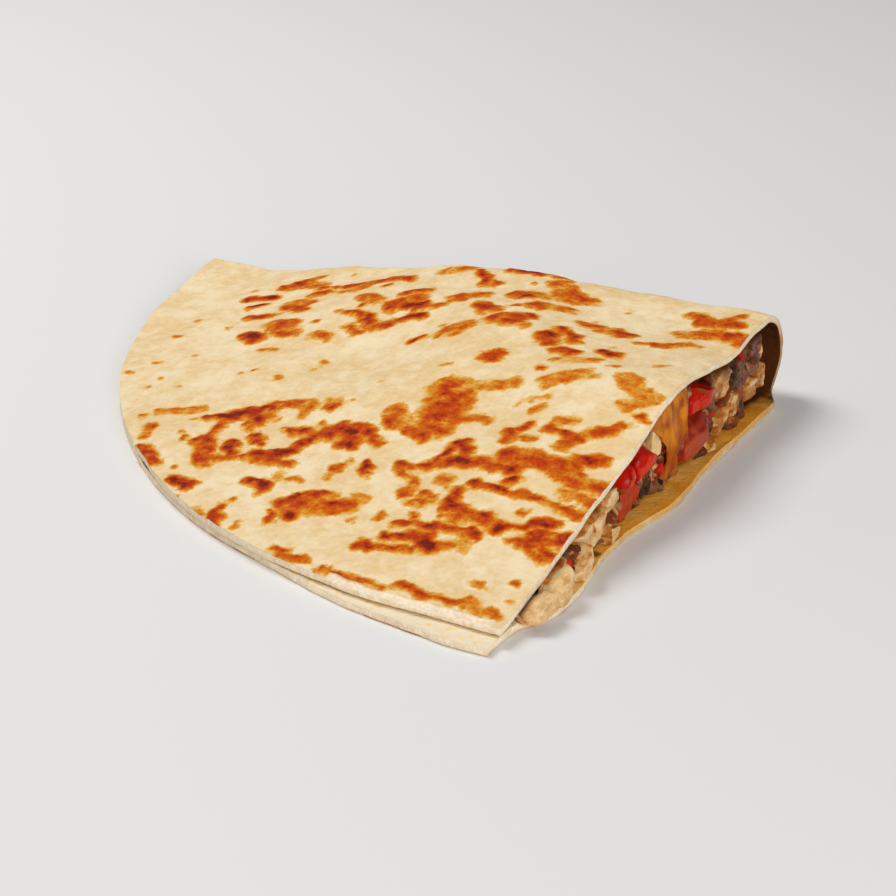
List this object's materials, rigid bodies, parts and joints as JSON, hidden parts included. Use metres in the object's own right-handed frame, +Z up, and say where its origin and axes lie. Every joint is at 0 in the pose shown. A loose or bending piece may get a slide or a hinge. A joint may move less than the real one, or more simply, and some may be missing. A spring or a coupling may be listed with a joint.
{
  "type": "quesadilla wedge",
  "caption": "Wedge of a toasted, folded flour tortilla with chicken, pepper, bean, mushroom and cheese filling showing at its cut side.",
  "frame": {"origin": "centre of the base of the bounding box, on the surface that the wedge lies on", "axes": "+Z up; +X out of the cut side that shows the filling; +Y out of the folded side; the round edge faces -X and -Y, with the thin tip at -Y"},
  "size_m": [0.1626, 0.1558, 0.0244],
  "materials": {
    "tortilla": "dry floury bread, pale cream with toasted orange-brown blisters",
    "filling": "chopped filling bound by brown-red sauce and cheese, moist",
    "cheese": "melted cheese stained orange by the sauce, moist",
    "chicken": "cooked chicken, fibrous, with sauce on its edges",
    "pepper": "cooked red pepper, glossy",
    "tomato": "cooked tomato, wet",
    "onion": "fried onion, translucent cream",
    "olive": "black olive, moist",
    "bean": "dark red kidney bean, smooth skin",
    "mushroom": "fried mushroom, brown-grey, moist"
  },
  "bodies": {
    "root": {"tortilla": "tortilla", "filling": "filling", "melted_cheese": "cheese", "chicken_tip": "chicken", "chicken_slice": "chicken", "chicken_crumb": "chicken", "chicken_chunk": "chicken", "chicken_cube": "chicken", "chicken_end": "chicken", "pepper_scrap": "pepper", "pepper_dice": "pepper", "pepper_strip": "pepper", "tomato": "tomato", "onion_strip": "onion", "olive": "olive", "kidney_bean": "bean", "mushroom_slice": "mushroom", "mushroom_scrap": "mushroom"}
  },
  "joints": []
}
